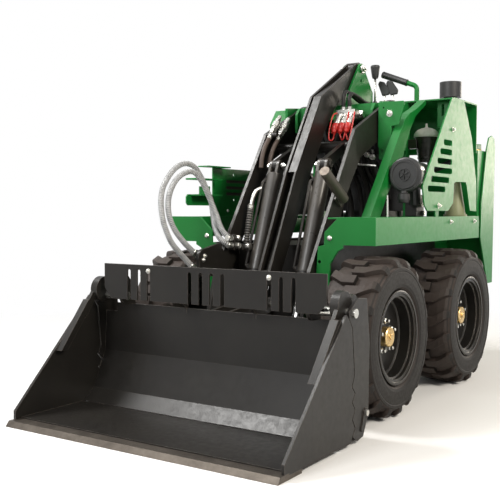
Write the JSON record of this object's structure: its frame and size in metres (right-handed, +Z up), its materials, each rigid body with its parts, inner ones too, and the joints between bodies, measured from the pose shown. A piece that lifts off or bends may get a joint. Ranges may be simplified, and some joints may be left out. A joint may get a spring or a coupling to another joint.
{
  "type": "mini loader",
  "caption": "Compact wheeled loader with side lift arms, a levelling link, twin lift cylinders, a rear console and a four-in-one bucket with a slotted spill guard.",
  "frame": {"origin": "on the ground, on the centre line, midway between the front and rear axles", "axes": "+Z up, -Y forwards over the bucket, +X to the machine's left"},
  "size_m": [1.112, 2.122, 1.402],
  "materials": {
    "hose": "hose rubber in its spiral guard",
    "green_paint": "satin green paint",
    "black_paint": "satin black paint",
    "bright_steel": "bare or zinc plated steel",
    "tyre": "black rubber",
    "worn_steel": "worn bare steel"
  },
  "bodies": {
    "chassis": {"frame_tub": "green_paint", "frame_pins": "bright_steel", "wheel_motors": "black_paint", "side_beams": "green_paint", "pillar": "green_paint", "tower": "green_paint", "console": "green_paint", "side_plates": "green_paint", "rear_plates": "green_paint", "fuel_tank": "green_paint", "engine_block": "black_paint", "air_cleaner": "black_paint", "pre_cleaner": "black_paint", "filter_canister": "bright_steel", "muffler": "bright_steel", "hand_rail": "green_paint", "control_levers": "black_paint", "coupler_block": "bright_steel"},
    "arms": {"lift_arms": "black_paint", "lock_bar": "black_paint", "arm_hoses": "hose"},
    "link_pin": {"link_bar": "bright_steel"},
    "link": {"tilt_link": "black_paint"},
    "tilt_ram": {"tilt_rod": "bright_steel"},
    "lift_barrel_l": {"lift_barrel_left": "black_paint"},
    "lift_barrel_r": {"lift_barrel_right": "black_paint"},
    "lift_rod_l": {"lift_rod_left": "bright_steel"},
    "lift_rod_r": {"lift_rod_right": "bright_steel"},
    "bucket": {"back_blade": "black_paint", "bucket_pins": "bright_steel", "spill_guard": "black_paint"},
    "clam_jaw": {"jaw": "black_paint", "cutting_edge": "worn_steel"},
    "clam_barrel_l": {"clam_barrel_left": "black_paint"},
    "clam_barrel_r": {"clam_barrel_right": "black_paint"},
    "clam_rod_l": {"clam_rod_left": "bright_steel"},
    "clam_rod_r": {"clam_rod_right": "bright_steel"},
    "wheel_fl": {"rim_fl": "black_paint", "tyre_fl": "tyre"},
    "wheel_fr": {"rim_fr": "black_paint", "tyre_fr": "tyre"},
    "wheel_rl": {"rim_rl": "black_paint", "tyre_rl": "tyre"},
    "wheel_rr": {"rim_rr": "black_paint", "tyre_rr": "tyre"}
  },
  "joints": [
    {"name": "lift", "type": "hinge", "parent": "chassis", "child": "arms", "pos_m": [0, 0.22, 1.152], "axis": [-1, 0, 0], "range_deg": [0, 48]},
    {"name": "link_swing", "type": "hinge", "parent": "chassis", "child": "link_pin", "pos_m": [0, 0.29, 1.368], "axis": [-1, 0, 0], "range_deg": [0, 48]},
    {"name": "link_nod", "type": "hinge", "parent": "link_pin", "child": "link", "pos_m": [0, 0.29, 1.368], "axis": [1, 0, 0], "range_deg": [-7.03, 1.69]},
    {"name": "tilt", "type": "hinge", "parent": "arms", "child": "bucket", "pos_m": [0, -0.54, 0.17], "axis": [1, 0, 0], "range_deg": [-12, 50]},
    {"name": "tilt_ram", "type": "slide", "parent": "link", "child": "tilt_ram", "axis": [0, -0.4786, -0.878], "range_m": [-0.02967, 0.1236]},
    {"name": "lift_barrel_l_swing", "type": "hinge", "parent": "arms", "child": "lift_barrel_l", "pos_m": [0.112, -0.18, 0.92], "axis": [1, 0, 0], "range_deg": [0, 59.22]},
    {"name": "lift_ram_l", "type": "slide", "parent": "lift_barrel_l", "child": "lift_rod_l", "axis": [0, -0.3464, -0.9381], "range_m": [0, 0.33568]},
    {"name": "lift_barrel_r_swing", "type": "hinge", "parent": "arms", "child": "lift_barrel_r", "pos_m": [-0.112, -0.18, 0.92], "axis": [1, 0, 0], "range_deg": [0, 59.22]},
    {"name": "lift_ram_r", "type": "slide", "parent": "lift_barrel_r", "child": "lift_rod_r", "axis": [0, -0.3464, -0.9381], "range_m": [0, 0.33568]},
    {"name": "jaw_open", "type": "hinge", "parent": "bucket", "child": "clam_jaw", "pos_m": [0, -0.781, 0.418], "axis": [-1, 0, 0], "range_deg": [0, 45]},
    {"name": "clam_barrel_l_swing", "type": "hinge", "parent": "bucket", "child": "clam_barrel_l", "pos_m": [0.478, -0.698, 0.09], "axis": [1, 0, 0], "range_deg": [-1.04, 0]},
    {"name": "clam_ram_l", "type": "slide", "parent": "clam_barrel_l", "child": "clam_rod_l", "axis": [0, -0.0444, 0.999], "range_m": [-0.05689, 0]},
    {"name": "clam_barrel_r_swing", "type": "hinge", "parent": "bucket", "child": "clam_barrel_r", "pos_m": [-0.478, -0.698, 0.09], "axis": [1, 0, 0], "range_deg": [-1.04, 0]},
    {"name": "clam_ram_r", "type": "slide", "parent": "clam_barrel_r", "child": "clam_rod_r", "axis": [0, -0.0444, 0.999], "range_m": [-0.05689, 0]},
    {"name": "wheel_fl_spin", "type": "hinge", "parent": "chassis", "child": "wheel_fl", "pos_m": [0.423, -0.372, 0.287], "axis": [1, 0, 0], "continuous": true},
    {"name": "wheel_fr_spin", "type": "hinge", "parent": "chassis", "child": "wheel_fr", "pos_m": [-0.423, -0.372, 0.287], "axis": [1, 0, 0], "continuous": true},
    {"name": "wheel_rl_spin", "type": "hinge", "parent": "chassis", "child": "wheel_rl", "pos_m": [0.423, 0.372, 0.287], "axis": [1, 0, 0], "continuous": true},
    {"name": "wheel_rr_spin", "type": "hinge", "parent": "chassis", "child": "wheel_rr", "pos_m": [-0.423, 0.372, 0.287], "axis": [1, 0, 0], "continuous": true}
  ],
  "couplings": [
    {"joint": "link_swing", "follows": "lift", "ratio": 1},
    {"joint": "link_nod", "follows": "tilt", "ratio": -0.14056},
    {"joint": "tilt_ram", "follows": "tilt", "m_per_rad": 0.14162},
    {"joint": "lift_barrel_l_swing", "follows": "lift", "ratio": 1.2337},
    {"joint": "lift_ram_l", "follows": "lift", "m_per_rad": 0.40065},
    {"joint": "clam_barrel_l_swing", "follows": "jaw_open", "ratio": -0.02315},
    {"joint": "clam_ram_l", "follows": "jaw_open", "m_per_rad": -0.07242},
    {"joint": "lift_barrel_r_swing", "follows": "lift", "ratio": 1.2337},
    {"joint": "lift_ram_r", "follows": "lift", "m_per_rad": 0.40065},
    {"joint": "clam_barrel_r_swing", "follows": "jaw_open", "ratio": -0.02315},
    {"joint": "clam_ram_r", "follows": "jaw_open", "m_per_rad": -0.07242}
  ]
}
